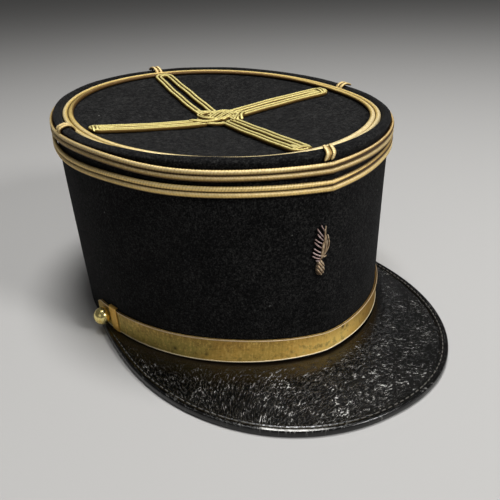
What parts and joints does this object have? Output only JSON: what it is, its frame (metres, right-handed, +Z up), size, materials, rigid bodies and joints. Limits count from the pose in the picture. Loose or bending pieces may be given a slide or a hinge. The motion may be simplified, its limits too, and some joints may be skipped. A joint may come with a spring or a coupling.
{
  "type": "kepi",
  "caption": "Stiff round felt kepi with a dished top, gold braid and looped cord knot, fixed lace chin strap with brass buttons, thread badge and a crackled leather peak.",
  "frame": {"origin": "on the resting surface, under the middle of the whole hat", "axes": "+Z up through the crown, -Y the way the hat faces, +X the wearer's left"},
  "size_m": [0.1798, 0.2512, 0.114],
  "materials": {
    "felt": "near-black wool felt with a fine nap",
    "gold_braid": "bright gold thread braid with fine slanting ribs",
    "gold_lace": "tarnished gold lace with fine ribs",
    "brass": "polished brass",
    "leather": "black varnished leather with fine cracks",
    "bullion": "dulled metal thread embroidery"
  },
  "bodies": {
    "root": {"crown_side": "felt", "crown_top": "felt", "rim_roll": "felt", "top_ring_braid": "gold_braid", "knot_centre": "gold_braid", "knot_arm_front": "gold_braid", "knot_arm_back": "gold_braid", "knot_arm_left": "gold_braid", "knot_arm_right": "gold_braid", "rim_tab_front": "gold_braid", "rim_tab_left": "gold_braid", "rim_tab_back": "gold_braid", "rim_tab_right": "gold_braid", "upper_braid": "gold_braid", "lower_braid": "gold_braid", "chin_strap": "gold_lace", "strap_keeper_left": "gold_lace", "strap_keeper_right": "gold_lace", "strap_button_left": "brass", "strap_button_right": "brass", "peak": "leather", "peak_binding": "leather", "badge": "bullion"}
  },
  "joints": []
}
